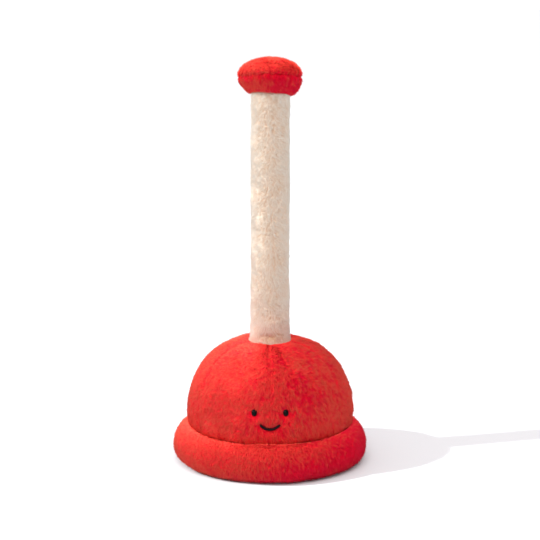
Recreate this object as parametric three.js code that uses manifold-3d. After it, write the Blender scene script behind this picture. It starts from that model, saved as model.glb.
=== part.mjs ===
// A stuffed plush toy in the shape of a plunger: a red dome of six sewn gores on a rolled red rim,
// a tall cream handle and a red knob, all of short-pile plush over fibre filling. A pouch of pellets
// in the base steadies it and a foam rod keeps the handle straight. The handle leans at its sewn
// root, on a round wad of filling, and the knob nods at its sewn neck.
// Millimetres, +Z up along the handle, face towards -Y. The origin is the middle of the underside.
import * as THREE from 'three';
import { mergeVertices } from 'three/addons/utils/BufferGeometryUtils.js';
import Module from 'manifold-3d';

const wasm = await Module();
wasm.setup();

// ---- driving dimensions ----
const PLUSH = 3; // thickness of the plush with its pile pressed down
const GAP = 0.4; // clearance between neighbouring pieces
const ROUND = 48; // facets round the large turned pieces
const ROUND_FILL = 36; // facets round the body's filling
const ROUND_SMALL = 24; // facets round the handle, knob and pouch

const GORES = 6;
const DOME_RADIUS = 84.5;
const DOME_TOP = 123;
const DOME_FULLNESS = 2.5; // exponent of the dome's outline: 2 is a round arch, more is squarer
const DOME_MOUTH_RADIUS = 20.5; // hole in the dome's top, where the handle is sewn in
const CREASE_Z = 40; // seam between the dome and the rim

const RIM_CENTRE_RADIUS = 80.5; // middle of the rim's rolled section
const RIM_REACH = 18.1; // from there out to the widest point
const RIM_WIDEST_Z = 13;
const RIM_TOP_Z = 41;
const BASE_SEAM_RADIUS = 76; // seam between the rim and the flat base panel
const BASE_PANEL_THICKNESS = 2.6;

const HANDLE_RADIUS = 19.5;
const HANDLE_BOTTOM = 129;
const HANDLE_TOP = 368;
const ROD_RADIUS = 9; // foam rod inside the handle
const ROD_END_COVER = 8; // filling between the rod's ends and the handle's ends

const ROOT_PIVOT_Z = 112; // centre of the round wad that the handle leans on
const WAD_RADIUS = 15;

const KNOB_RADIUS = 33;
const KNOB_EQUATOR_Z = 387.6;
const KNOB_TOP = 405.6;
const KNOB_BOTTOM = 372.6;
const KNOB_UNDERCUT = 19.5; // half height of the knob's lower curve, cut off where the handle meets it

const POUCH_RADIUS = 50;
const POUCH_CLOTH = 1.2;
const POUCH_BOTTOM = 3.2;
const POUCH_SEAM_Z = 14;
const POUCH_TOP = 25;

const EYE_X = 15; // each eye's distance from the middle of the face
const EYE_Z = 68;
const EYE_HALF_WIDTH = 2.5;
const EYE_TALLER = 1.2; // the bead's height over its width
const EYE_DOME = 2.2;
const SHANK_RADIUS = 1;
const SHANK_LENGTH = 8;
const WASHER_RADIUS = 4.2;
const WASHER_BACKSET = 1; // flat washer's distance from the curved plush's inner side
const WASHER_THICKNESS = 1;

const SMILE_HALF_WIDTH = 9.6;
const SMILE_CORNER_Z = 57;
const SMILE_DROP = 4.6;
const SMILE_THREAD = 0.9; // radius of the embroidered line

const THREAD = 0.5; // radius of the sewing thread
const CLOSING_FROM_Z = 62; // the hand-sewn closing on the back seam
const CLOSING_TO_Z = 98;

// ---- materials ----
const plushMaterial = (color) => new THREE.MeshStandardMaterial({ color, roughness: 0.95, metalness: 0 });
const redPlush = plushMaterial(0xe03a36);
const creamPlush = plushMaterial(0xf0dccb);
const filling = plushMaterial(0xf4f2ee);
const pouchCloth = plushMaterial(0xd8d4cc);
const foam = new THREE.MeshStandardMaterial({ color: 0xe8e8e8, roughness: 0.8, metalness: 0 });
const pellets = new THREE.MeshStandardMaterial({ color: 0xd9d9d2, roughness: 0.6, metalness: 0 });
const blackBead = new THREE.MeshStandardMaterial({ color: 0x0c0c0d, roughness: 0.35, metalness: 0 });
const washerPlastic = new THREE.MeshStandardMaterial({ color: 0xefefea, roughness: 0.5, metalness: 0 });
const blackThread = plushMaterial(0x0b0a0b);
const redThread = plushMaterial(0xc2262a);
const creamThread = plushMaterial(0xe6d3c0);

// ---- shape helpers ----
const point = (radius, z) => new THREE.Vector2(radius, z);

// Points along an elliptical arc; angles in degrees from the outward radius, turning up.
function arc(centreRadius, centreZ, reach, height, fromDegrees, toDegrees, steps) {
  const points = [];
  for (let i = 0; i <= steps; i += 1) {
    const angle = THREE.MathUtils.degToRad(fromDegrees + ((toDegrees - fromDegrees) * i) / steps);
    points.push(point(centreRadius + reach * Math.cos(angle), centreZ + height * Math.sin(angle)));
  }
  return points;
}

// Solid of revolution about Z from a profile given anticlockwise (outwards at the bottom, then up).
function turned(profile, facets = ROUND) {
  return new THREE.LatheGeometry(profile, facets).rotateX(Math.PI / 2);
}

// A turned profile that closes on itself.
const closed = (profile) => [...profile, profile[0].clone()];

function toSolid(geometry) {
  const bare = geometry.clone();
  bare.deleteAttribute('normal');
  bare.deleteAttribute('uv');
  const merged = mergeVertices(bare, 1e-4);
  return new wasm.Manifold(new wasm.Mesh({
    numProp: 3,
    vertProperties: new Float32Array(merged.attributes.position.array),
    triVerts: new Uint32Array(merged.index.array),
  }));
}

function toGeometry(solid) {
  const mesh = solid.getMesh();
  const geometry = new THREE.BufferGeometry();
  geometry.setAttribute('position', new THREE.BufferAttribute(mesh.vertProperties, 3));
  geometry.setIndex(new THREE.BufferAttribute(mesh.triVerts, 1));
  geometry.computeVertexNormals();
  return geometry;
}

const group = new THREE.Group();

function add(name, geometry, material) {
  const mesh = new THREE.Mesh(geometry, material);
  mesh.name = name;
  group.add(mesh);
  return mesh;
}

// ---- dome outline ----
const domeHeight = DOME_TOP - CREASE_Z;

// Radius of the dome's outside at height z, with the surface moved inwards by inset.
function domeRadius(z, inset = 0) {
  const rise = Math.min(Math.max((z - CREASE_Z) / (domeHeight - inset), 0), 1);
  return (DOME_RADIUS - inset) * (1 - rise ** DOME_FULLNESS) ** (1 / DOME_FULLNESS);
}

// The dome's outline from the crease up to where its radius has shrunk to the given mouth.
function domeOutline(inset, mouthRadius, steps) {
  const points = [];
  const reach = DOME_RADIUS - inset;
  const height = domeHeight - inset;
  const power = 2 / DOME_FULLNESS;
  const lastAngle = Math.acos((mouthRadius / reach) ** (1 / power));
  for (let i = 0; i <= steps; i += 1) {
    const angle = (lastAngle * i) / steps;
    points.push(point(reach * Math.cos(angle) ** power, CREASE_Z + height * Math.sin(angle) ** power));
  }
  return points;
}

// Place and outward direction of a point on the dome's face side.
function onDome(x, z, lift = 0) {
  const radius = domeRadius(z);
  const step = 0.5;
  const slope = (domeRadius(z + step) - domeRadius(z - step)) / (2 * step);
  const around = Math.asin(x / radius);
  const outward = new THREE.Vector3(Math.sin(around), -Math.cos(around), -slope).normalize();
  const place = new THREE.Vector3(radius * Math.sin(around), -radius * Math.cos(around), z);
  return { place: place.addScaledVector(outward, lift), outward };
}

// A piece modelled along +Y, moved so that its origin is at the place and +Y points outward.
function aimed(geometry, { place, outward }) {
  const across = new THREE.Vector3(0, 0, 1).cross(outward).normalize();
  const up = outward.clone().cross(across);
  const matrix = new THREE.Matrix4().makeBasis(across, outward, up.clone().negate());
  return geometry.applyMatrix4(matrix.setPosition(place));
}

// ---- eyes: a domed bead and shank each, pushed through the plush, with a washer inside ----
function eyeBead(at) {
  const dome = arc(0, 0, EYE_HALF_WIDTH, EYE_DOME, 0, 90, 4);
  const profile = [point(0, -SHANK_LENGTH), point(SHANK_RADIUS, -SHANK_LENGTH), point(SHANK_RADIUS, 0), ...dome];
  profile[profile.length - 1].x = 0;
  const bead = new THREE.LatheGeometry(profile, 16).scale(1, 1, EYE_TALLER);
  return aimed(bead, at);
}

function eyeWasher(at) {
  const hole = SHANK_RADIUS * EYE_TALLER + GAP;
  const top = -PLUSH - WASHER_BACKSET;
  const bottom = top - WASHER_THICKNESS;
  const profile = [point(hole, bottom), point(WASHER_RADIUS, bottom), point(WASHER_RADIUS, top), point(hole, top)];
  return aimed(new THREE.LatheGeometry(closed(profile), 16), at);
}

// Room that an eye needs: a hole through the plush and a pocket in the filling behind it.
function eyeRoom(at, radius, depth) {
  const room = new THREE.CylinderGeometry(radius, radius, 2 * depth, 20);
  return toSolid(aimed(room, at));
}

const eyes = [
  { side: 'left', at: onDome(-EYE_X, EYE_Z, GAP) },
  { side: 'right', at: onDome(EYE_X, EYE_Z, GAP) },
];
for (const { side, at } of eyes) {
  add(`eye_${side}`, eyeBead(at), blackBead);
  add(`eye_washer_${side}`, eyeWasher(at), washerPlastic);
}

// ---- dome: six gores cut from one shell along upright seam planes; the first seam faces -Y ----
const domeShellProfile = closed([
  ...domeOutline(0, DOME_MOUTH_RADIUS, 8),
  ...domeOutline(PLUSH, DOME_MOUTH_RADIUS, 8).reverse(),
]);
const domeShell = toSolid(turned(domeShellProfile));
const goreAngle = (2 * Math.PI) / GORES;

function goreWedge(index) {
  const far = 2 * DOME_RADIUS;
  const start = -Math.PI / 2 + index * goreAngle;
  const middle = start + goreAngle / 2;
  const apex = GAP / 2 / Math.sin(goreAngle / 2);
  const corner = (angle) => [
    apex * Math.cos(middle) + far * Math.cos(angle),
    apex * Math.sin(middle) + far * Math.sin(angle),
  ];
  const outline = new THREE.Shape();
  outline.moveTo(apex * Math.cos(middle), apex * Math.sin(middle));
  outline.lineTo(...corner(start));
  outline.lineTo(...corner(start + goreAngle));
  outline.closePath();
  return toSolid(new THREE.ExtrudeGeometry(outline, { depth: 2 * DOME_TOP, bevelEnabled: false }));
}

for (let index = 0; index < GORES; index += 1) {
  let gore = domeShell.intersect(goreWedge(index));
  for (const { at } of eyes) {
    gore = gore.subtract(eyeRoom(at, SHANK_RADIUS * EYE_TALLER + GAP, SHANK_LENGTH));
  }
  add(`dome_gore_${index + 1}`, toGeometry(gore), redPlush);
}

// ---- smile: one embroidered line over the front seam ----
class SmileCurve extends THREE.Curve {
  getPoint(t, target = new THREE.Vector3()) {
    const across = 2 * t - 1;
    const z = SMILE_CORNER_Z - SMILE_DROP * (1 - across * across);
    return target.copy(onDome(SMILE_HALF_WIDTH * across, z, SMILE_THREAD + GAP).place);
  }
}

function circleShape(radius, sides) {
  const shape = new THREE.Shape();
  for (let i = 0; i < sides; i += 1) {
    const angle = (2 * Math.PI * i) / sides;
    const draw = i === 0 ? 'moveTo' : 'lineTo';
    shape[draw](radius * Math.cos(angle), radius * Math.sin(angle));
  }
  shape.closePath();
  return shape;
}

function threadAlong(path, radius, steps) {
  const options = { steps, extrudePath: path, bevelEnabled: false };
  return new THREE.ExtrudeGeometry(circleShape(radius, 6), options);
}

add('smile_stitching', threadAlong(new SmileCurve(), SMILE_THREAD, 14), blackThread);

// ---- closing: hand-sewn thread down the back seam, where the toy was filled ----
class ClosingCurve extends THREE.Curve {
  getPoint(t, target = new THREE.Vector3()) {
    const z = THREE.MathUtils.lerp(CLOSING_FROM_Z, CLOSING_TO_Z, t);
    return target.set(0, domeRadius(z) + THREAD + GAP, z);
  }
}
add('closing_stitches', threadAlong(new ClosingCurve(), THREAD, 8), redThread);

// ---- rim: one plush strip, rolled from the crease out, down and under to the base seam ----
const crestAngle = 77; // where the strip's outside meets the dome's wall
const rimUpper = RIM_TOP_Z - RIM_WIDEST_Z;

function rimOutline(inset, steps) {
  const below = arc(RIM_CENTRE_RADIUS, RIM_WIDEST_Z, RIM_REACH - inset, RIM_WIDEST_Z - inset, -90, 0, steps);
  const above = arc(RIM_CENTRE_RADIUS, RIM_WIDEST_Z, RIM_REACH - inset, rimUpper - inset, 0, crestAngle, steps);
  return [point(BASE_SEAM_RADIUS, inset), ...below, ...above.slice(1)];
}

const rimStrip = closed([...rimOutline(0, 5), ...rimOutline(PLUSH, 5).reverse()]);
const belowCrease = CREASE_Z - GAP;
for (const corner of rimStrip) {
  corner.y = Math.min(corner.y, belowCrease);
}
add('rim_cover', turned(rimStrip), redPlush);

// ---- base panel: the flat disc that the toy stands on ----
const basePanel = [
  point(0, 0),
  point(BASE_SEAM_RADIUS - GAP, 0),
  point(BASE_SEAM_RADIUS - GAP, BASE_PANEL_THICKNESS),
  point(0, BASE_PANEL_THICKNESS),
];
add('base_panel', turned(basePanel), redPlush);

// ---- pellet pouch: two cloth bowls sewn mouth to mouth, filled with pellets ----
function pouchOutline(inset) {
  const corner = 8 - inset;
  const reach = POUCH_RADIUS - 8;
  return {
    lower: [point(0, POUCH_BOTTOM + inset), ...arc(reach, POUCH_BOTTOM + 8, corner, corner, -90, 0, 4)],
    upper: [...arc(reach, POUCH_TOP - 8, corner, corner, 0, 90, 4), point(0, POUCH_TOP - inset)],
  };
}

const pouchOuter = pouchOutline(0);
const pouchInner = pouchOutline(POUCH_CLOTH);
const seamBelow = POUCH_SEAM_Z - GAP / 2;
const seamAbove = POUCH_SEAM_Z + GAP / 2;
const innerRadius = POUCH_RADIUS - POUCH_CLOTH;
add('pouch_bottom', turned([
  ...pouchOuter.lower,
  point(POUCH_RADIUS, seamBelow),
  point(innerRadius, seamBelow),
  ...pouchInner.lower.reverse(),
], ROUND_SMALL), pouchCloth);
add('pouch_top', turned([
  ...pouchInner.upper.reverse(),
  point(innerRadius, seamAbove),
  point(POUCH_RADIUS, seamAbove),
  ...pouchOuter.upper,
], ROUND_SMALL), pouchCloth);
const fill = pouchOutline(POUCH_CLOTH + GAP);
add('pouch_pellets', turned([...fill.lower, ...fill.upper], ROUND_SMALL), pellets);

// ---- body filling: fills dome and rim, with a recess for the pouch and a cup for the wad ----
const fillInset = PLUSH + GAP;
const cupRadius = WAD_RADIUS + GAP;
const cupMouthZ = CREASE_Z + domeHeight - fillInset;
const cupMouthAngle = THREE.MathUtils.radToDeg(Math.asin((cupMouthZ - ROOT_PIVOT_Z) / cupRadius));
const fillBottom = BASE_PANEL_THICKNESS + GAP + 0.4;
const bodyFillingProfile = [
  point(0, POUCH_TOP + GAP),
  point(POUCH_RADIUS + GAP, POUCH_TOP + GAP),
  point(POUCH_RADIUS + GAP, fillBottom),
  point(RIM_CENTRE_RADIUS, fillBottom),
  ...arc(RIM_CENTRE_RADIUS, RIM_WIDEST_Z, RIM_REACH - fillInset, RIM_WIDEST_Z - fillInset, -80, 0, 5),
  ...arc(RIM_CENTRE_RADIUS, RIM_WIDEST_Z, RIM_REACH - fillInset, rimUpper - fillInset, 0, 86, 6).slice(1),
  ...domeOutline(fillInset, DOME_MOUTH_RADIUS, 7).slice(1),
  ...arc(0, ROOT_PIVOT_Z, cupRadius, cupRadius, cupMouthAngle, -90, 8),
];
bodyFillingProfile[bodyFillingProfile.length - 1].x = 0;
let bodyFilling = toSolid(turned(bodyFillingProfile, ROUND_FILL));
for (const { at } of eyes) {
  bodyFilling = bodyFilling.subtract(eyeRoom(at, WASHER_RADIUS + GAP, SHANK_LENGTH + GAP));
}
add('body_filling', toGeometry(bodyFilling), filling);

// ---- root wad: the round ball of filling that the handle leans on ----
const wad = new THREE.SphereGeometry(WAD_RADIUS, 20, 10).rotateX(Math.PI / 2);
add('root_wad', wad.translate(0, 0, ROOT_PIVOT_Z), filling);

// ---- handle: cream plush tube, filling and foam rod ----
const handleInside = HANDLE_RADIUS - PLUSH;
const fillRadius = handleInside - GAP;
const rodBottom = HANDLE_BOTTOM + ROD_END_COVER;
const rodTop = HANDLE_TOP - ROD_END_COVER;
add('handle_cover', turned(closed([
  point(handleInside, HANDLE_BOTTOM),
  point(HANDLE_RADIUS, HANDLE_BOTTOM),
  point(HANDLE_RADIUS, HANDLE_TOP),
  point(handleInside, HANDLE_TOP),
]), ROUND_SMALL), creamPlush);
add('handle_rod', turned([
  point(0, rodBottom),
  point(ROD_RADIUS, rodBottom),
  point(ROD_RADIUS, rodTop),
  point(0, rodTop),
], ROUND_SMALL), foam);
add('handle_filling', turned(closed([
  point(ROD_RADIUS + GAP, HANDLE_BOTTOM),
  point(fillRadius, HANDLE_BOTTOM),
  point(fillRadius, HANDLE_TOP),
  point(ROD_RADIUS + GAP, HANDLE_TOP),
]), ROUND_SMALL), filling);

// ---- sewing at the handle's two ends: one ring of thread each ----
function threadRing(radius, z) {
  return new THREE.TorusGeometry(radius, THREAD, 6, ROUND_SMALL).translate(0, 0, z);
}
const ringRadius = HANDLE_RADIUS - PLUSH / 2;
add('root_stitching', threadRing(ringRadius, HANDLE_BOTTOM - THREAD - GAP), creamThread);
add('neck_stitching', threadRing(ringRadius, HANDLE_TOP + THREAD + GAP), redThread);

// ---- knob: upper and lower plush panels sewn round the equator, with filling ----
const knobRise = KNOB_TOP - KNOB_EQUATOR_Z;

function knobUpper(inset, fromZ) {
  const height = knobRise - inset;
  const startDegrees = THREE.MathUtils.radToDeg(Math.asin((fromZ - KNOB_EQUATOR_Z) / height));
  const points = arc(0, KNOB_EQUATOR_Z, KNOB_RADIUS - inset, height, startDegrees, 90, 8);
  points[points.length - 1].x = 0;
  return points;
}

function knobLower(inset, toZ) {
  const height = KNOB_UNDERCUT - inset;
  const startDegrees = THREE.MathUtils.radToDeg(Math.asin((KNOB_BOTTOM - KNOB_EQUATOR_Z) / height));
  const endDegrees = THREE.MathUtils.radToDeg(Math.asin((toZ - KNOB_EQUATOR_Z) / height));
  return arc(0, KNOB_EQUATOR_Z, KNOB_RADIUS - inset, height, startDegrees, endDegrees, 6);
}

const panelAbove = KNOB_EQUATOR_Z + GAP / 2;
const panelBelow = KNOB_EQUATOR_Z - GAP / 2;
add('knob_cover_top', turned([
  ...knobUpper(PLUSH, panelAbove).reverse(),
  ...knobUpper(0, panelAbove),
], ROUND_SMALL + 8), redPlush);
add('knob_cover_bottom', turned(closed([
  ...knobLower(0, panelBelow),
  ...knobLower(PLUSH, panelBelow).reverse(),
]), ROUND_SMALL + 8), redPlush);
const knobFilling = [
  point(0, KNOB_BOTTOM),
  ...knobLower(fillInset, panelBelow),
  ...knobUpper(fillInset, panelAbove),
];
add('knob_filling', turned(knobFilling, ROUND_SMALL), filling);

export default group;
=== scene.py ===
from math import atan2, cos, exp, pi, radians, sin, sqrt, tau

import bmesh
import bpy
from mathutils import Matrix, Quaternion, Vector, noise
from mathutils.bvhtree import BVHTree


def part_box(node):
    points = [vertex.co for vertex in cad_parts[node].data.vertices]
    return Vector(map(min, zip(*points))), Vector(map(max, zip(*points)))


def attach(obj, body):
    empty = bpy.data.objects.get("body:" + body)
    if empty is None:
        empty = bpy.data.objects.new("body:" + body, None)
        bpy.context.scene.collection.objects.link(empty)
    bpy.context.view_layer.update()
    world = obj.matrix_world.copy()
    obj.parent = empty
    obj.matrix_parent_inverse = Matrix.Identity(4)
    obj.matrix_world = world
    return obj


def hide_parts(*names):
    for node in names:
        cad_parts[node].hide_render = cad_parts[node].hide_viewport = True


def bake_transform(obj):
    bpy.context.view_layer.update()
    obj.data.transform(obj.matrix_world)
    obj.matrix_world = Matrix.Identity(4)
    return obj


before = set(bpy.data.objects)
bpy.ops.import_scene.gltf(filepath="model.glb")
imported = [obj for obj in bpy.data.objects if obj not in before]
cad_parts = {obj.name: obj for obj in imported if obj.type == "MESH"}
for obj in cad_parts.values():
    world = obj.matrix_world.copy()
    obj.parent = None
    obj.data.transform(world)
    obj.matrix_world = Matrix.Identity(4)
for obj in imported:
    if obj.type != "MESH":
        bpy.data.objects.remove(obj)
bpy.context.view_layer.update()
mm = 0.001
scene = bpy.context.scene

# ---- Studio ----
# A pale seamless floor, one hard lamp on the left, a soft box above the front and a bright room. The
# camera stands a metre and a half in front of the toy, a little above it.
scene.view_settings.view_transform = "Standard"

camera = bpy.data.objects.new("camera", bpy.data.cameras.new("camera"))
scene.collection.objects.link(camera)
camera.location = (0, -1.5, 0.47)
camera.data.lens = 101.7
look_at = Vector((0, 0, 0.194))
camera.rotation_euler = (look_at - camera.location).to_track_quat("-Z", "Y").to_euler()
scene.camera = camera

world = bpy.data.worlds.new("room")
world.use_nodes = True
world.node_tree.nodes["Background"].inputs["Color"].default_value = (1.0, 0.91, 0.92, 1)
world.node_tree.nodes["Background"].inputs["Strength"].default_value = 1.21
scene.world = world
world.cycles_visibility.glossy = False

lamp = bpy.data.objects.new("key_lamp", bpy.data.lights.new("key_lamp", "SUN"))
scene.collection.objects.link(lamp)
lamp.data.energy = 4.2
lamp.data.angle = radians(1.8)
LAMP_ELEVATION = radians(39)
LAMP_LEFT, LAMP_FORWARD = 0.964, 0.266
lamp_reach = cos(LAMP_ELEVATION)
lamp_from = Vector((-LAMP_LEFT * lamp_reach, -LAMP_FORWARD * lamp_reach, sin(LAMP_ELEVATION)))
lamp.rotation_euler = lamp_from.to_track_quat("Z", "Y").to_euler()
lamp.data.color = (0.96, 1.0, 0.99)

soft_box = bpy.data.objects.new("soft_box", bpy.data.lights.new("soft_box", "AREA"))
scene.collection.objects.link(soft_box)
soft_box.data.size = 1.8
soft_box.data.energy = 48
soft_box.data.color = (1.0, 0.99, 0.97)
soft_box.location = (0.12, -1.5, 2.1)
soft_box.rotation_euler = (soft_box.location - look_at).to_track_quat("Z", "Y").to_euler()
soft_box.visible_camera = False

floor_mesh = bmesh.new()
bmesh.ops.create_circle(floor_mesh, cap_ends=True, segments=96, radius=40)
floor = bpy.data.objects.new("floor", bpy.data.meshes.new("floor"))
floor_mesh.to_mesh(floor.data)
floor_mesh.free()
scene.collection.objects.link(floor)
floor_paint = bpy.data.materials.new("seamless_paper")
floor_paint.use_nodes = True
floor_shader = floor_paint.node_tree.nodes["Principled BSDF"]
floor_shader.inputs["Base Color"].default_value = (0.565, 0.592, 0.61, 1)
floor_shader.inputs["Roughness"].default_value = 0.8
floor.data.materials.append(floor_paint)


# ---- Dome ----
# Six red plush gores, sewn edge to edge and stuffed hard with fibre. Each panel swells between its
# seams, and the seams are drawn in a little. The pile stands over a knitted backing.
def span(*nodes):
    lows, highs = zip(*(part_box(node) for node in nodes))
    low = Vector([min(c[i] for c in lows) for i in range(3)])
    high = Vector([max(c[i] for c in highs) for i in range(3)])
    return low, high


def eased(low, high, value):
    """0 below low, 1 above high, and a smooth step between."""
    t = min(max((value - low) / (high - low), 0), 1)
    return t * t * (3 - 2 * t)


def in_order(bm):
    """Sorts edges and faces by their corners, so that each run numbers them alike."""
    bm.verts.index_update()
    count = len(bm.verts)

    def key(part):
        first, second, *rest = sorted(v.index for v in part.verts)
        return (first * count + second) * count + (rest[0] if rest else 0)

    bm.edges.sort(key=key)
    bm.faces.sort(key=key)


def spun(name, outline, steps):
    """A closed cover: the outline, from the axis up and back to it, spun round the Z axis."""
    bm = bmesh.new()
    points = [bm.verts.new((radius, 0, z)) for radius, z in outline]
    edges = [bm.edges.new(pair) for pair in zip(points, points[1:])]
    bmesh.ops.spin(
        bm, geom=points + edges, cent=(0, 0, 0), axis=(0, 0, 1), angle=tau, steps=steps, use_merge=True
    )
    bmesh.ops.remove_doubles(bm, verts=bm.verts, dist=1e-6)
    in_order(bm)
    bmesh.ops.recalc_face_normals(bm, faces=bm.faces)
    cover = bpy.data.objects.new(name, bpy.data.meshes.new(name))
    bm.to_mesh(cover.data)
    bm.free()
    scene.collection.objects.link(cover)
    return cover


def even_steps(outline, step):
    """The same outline with a point about every step along it."""
    points = [Vector(p) for p in outline]
    lengths = [0]
    for a, b in zip(points, points[1:]):
        lengths.append(lengths[-1] + (b - a).length)
    count = max(2, round(lengths[-1] / step))
    spaced = []
    for i in range(count + 1):
        at = lengths[-1] * i / count
        k = min(max(j for j, length in enumerate(lengths) if length <= at + 1e-12), len(points) - 2)
        t = (at - lengths[k]) / (lengths[k + 1] - lengths[k])
        spaced.append(points[k].lerp(points[k + 1], t))
    spaced[0].x = outline[0][0]
    spaced[-1].x = outline[-1][0]
    return spaced


FILLING_FRAMES = 20
CLOTH_STIFFNESS = 20
ROUNDED_TO = 5  # decimals of a metre: two runs of the cloth differ far below a hundredth of a millimetre


def stuffed(cover, held, pressure, reach):
    """Fills the cover: cloth under pressure from inside, held where held(point) is 1. No point moves
    further than reach."""
    mesh = cover.data
    before = [v.co.copy() for v in mesh.vertices]
    sewn = cover.vertex_groups.new(name="sewn")
    for v in mesh.vertices:
        sewn.add([v.index], min(max(held(v.co), 0), 1), "REPLACE")
    cloth = cover.modifiers.new("filling", "CLOTH")
    cloth.settings.quality = 6
    cloth.settings.mass = 0.001
    cloth.settings.tension_stiffness = CLOTH_STIFFNESS
    cloth.settings.compression_stiffness = CLOTH_STIFFNESS
    cloth.settings.shear_stiffness = CLOTH_STIFFNESS / 2
    cloth.settings.bending_stiffness = 2
    cloth.settings.use_pressure = True
    cloth.settings.uniform_pressure_force = pressure
    cloth.settings.vertex_group_mass = "sewn"
    cloth.settings.effector_weights.gravity = 0
    cloth.point_cache.frame_end = FILLING_FRAMES
    for frame_number in range(1, FILLING_FRAMES + 1):
        scene.frame_set(frame_number)
    swollen = cover.evaluated_get(bpy.context.evaluated_depsgraph_get())
    after = [v.co.copy() for v in swollen.data.vertices]
    cover.modifiers.remove(cloth)
    cover.vertex_groups.remove(sewn)
    for v, old, new in zip(mesh.vertices, before, after):
        move = new - old
        settled = old + move * min(1, reach / max(move.length, 1e-9))
        v.co = [round(c, ROUNDED_TO) for c in settled]
    scene.frame_set(1)


def finer(cover, levels):
    """Smooths the cover with subdivision and keeps the result as its mesh."""
    smoother = cover.modifiers.new("smoother", "SUBSURF")
    smoother.levels = levels
    smoother.render_levels = levels
    done = cover.evaluated_get(bpy.context.evaluated_depsgraph_get())
    mesh = bpy.data.meshes.new_from_object(done)
    cover.modifiers.remove(smoother)
    cover.data = mesh
    mesh.name = cover.name
    mesh.shade_smooth()


def pushed(cover, depth):
    """Moves each point of the cover inwards along its normal by depth(point)."""
    mesh = cover.data
    moves = [v.normal * depth(v.co) for v in mesh.vertices]
    for v, move in zip(mesh.vertices, moves):
        v.co = v.co - move
    mesh.update()


def angle_to_seam(point, seams, first=-pi / 2):
    """Signed angle round Z from the nearest of evenly spaced seams."""
    gap = tau / seams
    return (atan2(point.y, point.x) - first + gap / 2) % gap - gap / 2


PILE_DEPTH = 3.4 * mm
gores = [f"dome_gore_{i}" for i in range(1, 7)]
gores_low, gores_high = span(*gores)
crease_z = gores_low.z
dome_radius = gores_high.x - PILE_DEPTH
dome_top = gores_high.z + 4.2 * mm - PILE_DEPTH
dome_fullness = 2.5
SEAM_WIDTH = 1.4 * mm
SEAM_DEPTH = 1.0 * mm
EYE_DENT = 0.7 * mm


def dome_outline():
    power = 2 / dome_fullness
    under = [(0, crease_z - 4 * mm), (dome_radius - 7 * mm, crease_z - 4 * mm)]
    corner = [(dome_radius - 2 * mm, crease_z - 3 * mm)]
    wall = []
    for i in range(25):
        angle = pi / 2 * i / 24
        wall.append(
            (dome_radius * cos(angle) ** power, crease_z + (dome_top - crease_z) * sin(angle) ** power)
        )
    wall[-1] = (0, dome_top)
    return under + corner + wall


def from_axis(point):
    return sqrt(point.x**2 + point.y**2)


def dome_seam(point):
    """Distance along the surface from the nearest gore seam."""
    return abs(angle_to_seam(point, 6)) * from_axis(point)


eye_boxes = {side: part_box(f"eye_{side}") for side in ("left", "right")}
SMILE_THREAD = 0.9 * mm
smile_low, smile_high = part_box("smile_stitching")
smile_half = smile_high.x - SMILE_THREAD
smile_corner_z = smile_high.z - SMILE_THREAD
smile_drop = smile_high.z - smile_low.z - 2 * SMILE_THREAD
closing_low, closing_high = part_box("closing_stitches")


def eye_away(point):
    """Distance from the nearer eye's middle, on the front."""
    if point.y > 0:
        return 1
    return min(
        sqrt((point.x - (low.x + high.x) / 2) ** 2 + (point.z - (low.z + high.z) / 2) ** 2)
        for low, high in eye_boxes.values()
    )


def smile_z(x):
    return smile_corner_z - smile_drop * (1 - (x / smile_half) ** 2)


def smile_away(point):
    """Distance from the line of the smile, on the front."""
    if point.y > 0:
        return 1
    x = min(max(point.x, -smile_half), smile_half)
    slope = 2 * smile_drop * x / smile_half**2
    return sqrt((point.x - x) ** 2 + (point.z - smile_z(x)) ** 2 / (1 + slope**2))


def closing_away(point):
    """Distance from the hand-sewn stretch of the back seam."""
    if point.y < 0:
        return 1
    z = min(max(point.z, closing_low.z), closing_high.z)
    return sqrt(point.x**2 + (point.z - z) ** 2)


dome = spun("dome_cover", even_steps(dome_outline(), 5.5 * mm), 72)


def dome_held(point):
    radius = from_axis(point)
    under = 1 if point.z < crease_z + 1 * mm else 0
    root = 1 - eased(16 * mm, 26 * mm, radius)
    seam = 0.75 * exp(-((dome_seam(point) / (3 * mm)) ** 2))
    return max(under, root, seam)


stuffed(dome, dome_held, pressure=2500, reach=2 * mm)
finer(dome, levels=2)


def dome_groove(point):
    if point.z < crease_z:
        return 0
    radius = from_axis(point)
    fade = eased(14 * mm, 30 * mm, radius)
    away = dome_seam(point)
    line = exp(-((away / SEAM_WIDTH) ** 2)) * (0.25 + 0.75 * eased(70 * mm, 92 * mm, point.z))
    pucker = noise.noise(point * 160) * exp(-((away / (8 * mm)) ** 2))
    lumps = noise.noise(point * 28) * 0.7 * mm
    pulled_in = EYE_DENT * exp(-((eye_away(point) / (4.5 * mm)) ** 2))
    drawn_in = 0.7 * mm * exp(-((smile_away(point) / (2.5 * mm)) ** 2))
    lumps *= eased(5 * mm, 14 * mm, eye_away(point))
    return fade * (SEAM_DEPTH * line + 0.35 * mm * pucker) + lumps * fade + pulled_in + drawn_in


pushed(dome, dome_groove)


def shader(name, roughness, sheen=0.0, sheen_tint=(1, 1, 1), specular=0.3, specular_tint=(1, 1, 1)):
    material = bpy.data.materials.new(name)
    material.use_nodes = True
    principled = material.node_tree.nodes["Principled BSDF"]
    principled.inputs["Roughness"].default_value = roughness
    principled.inputs["Sheen Weight"].default_value = sheen
    principled.inputs["Sheen Tint"].default_value = (*sheen_tint, 1)
    principled.inputs["Sheen Roughness"].default_value = 0.4
    principled.inputs["Specular IOR Level"].default_value = specular
    principled.inputs["Specular Tint"].default_value = (*specular_tint, 1)
    return material


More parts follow.
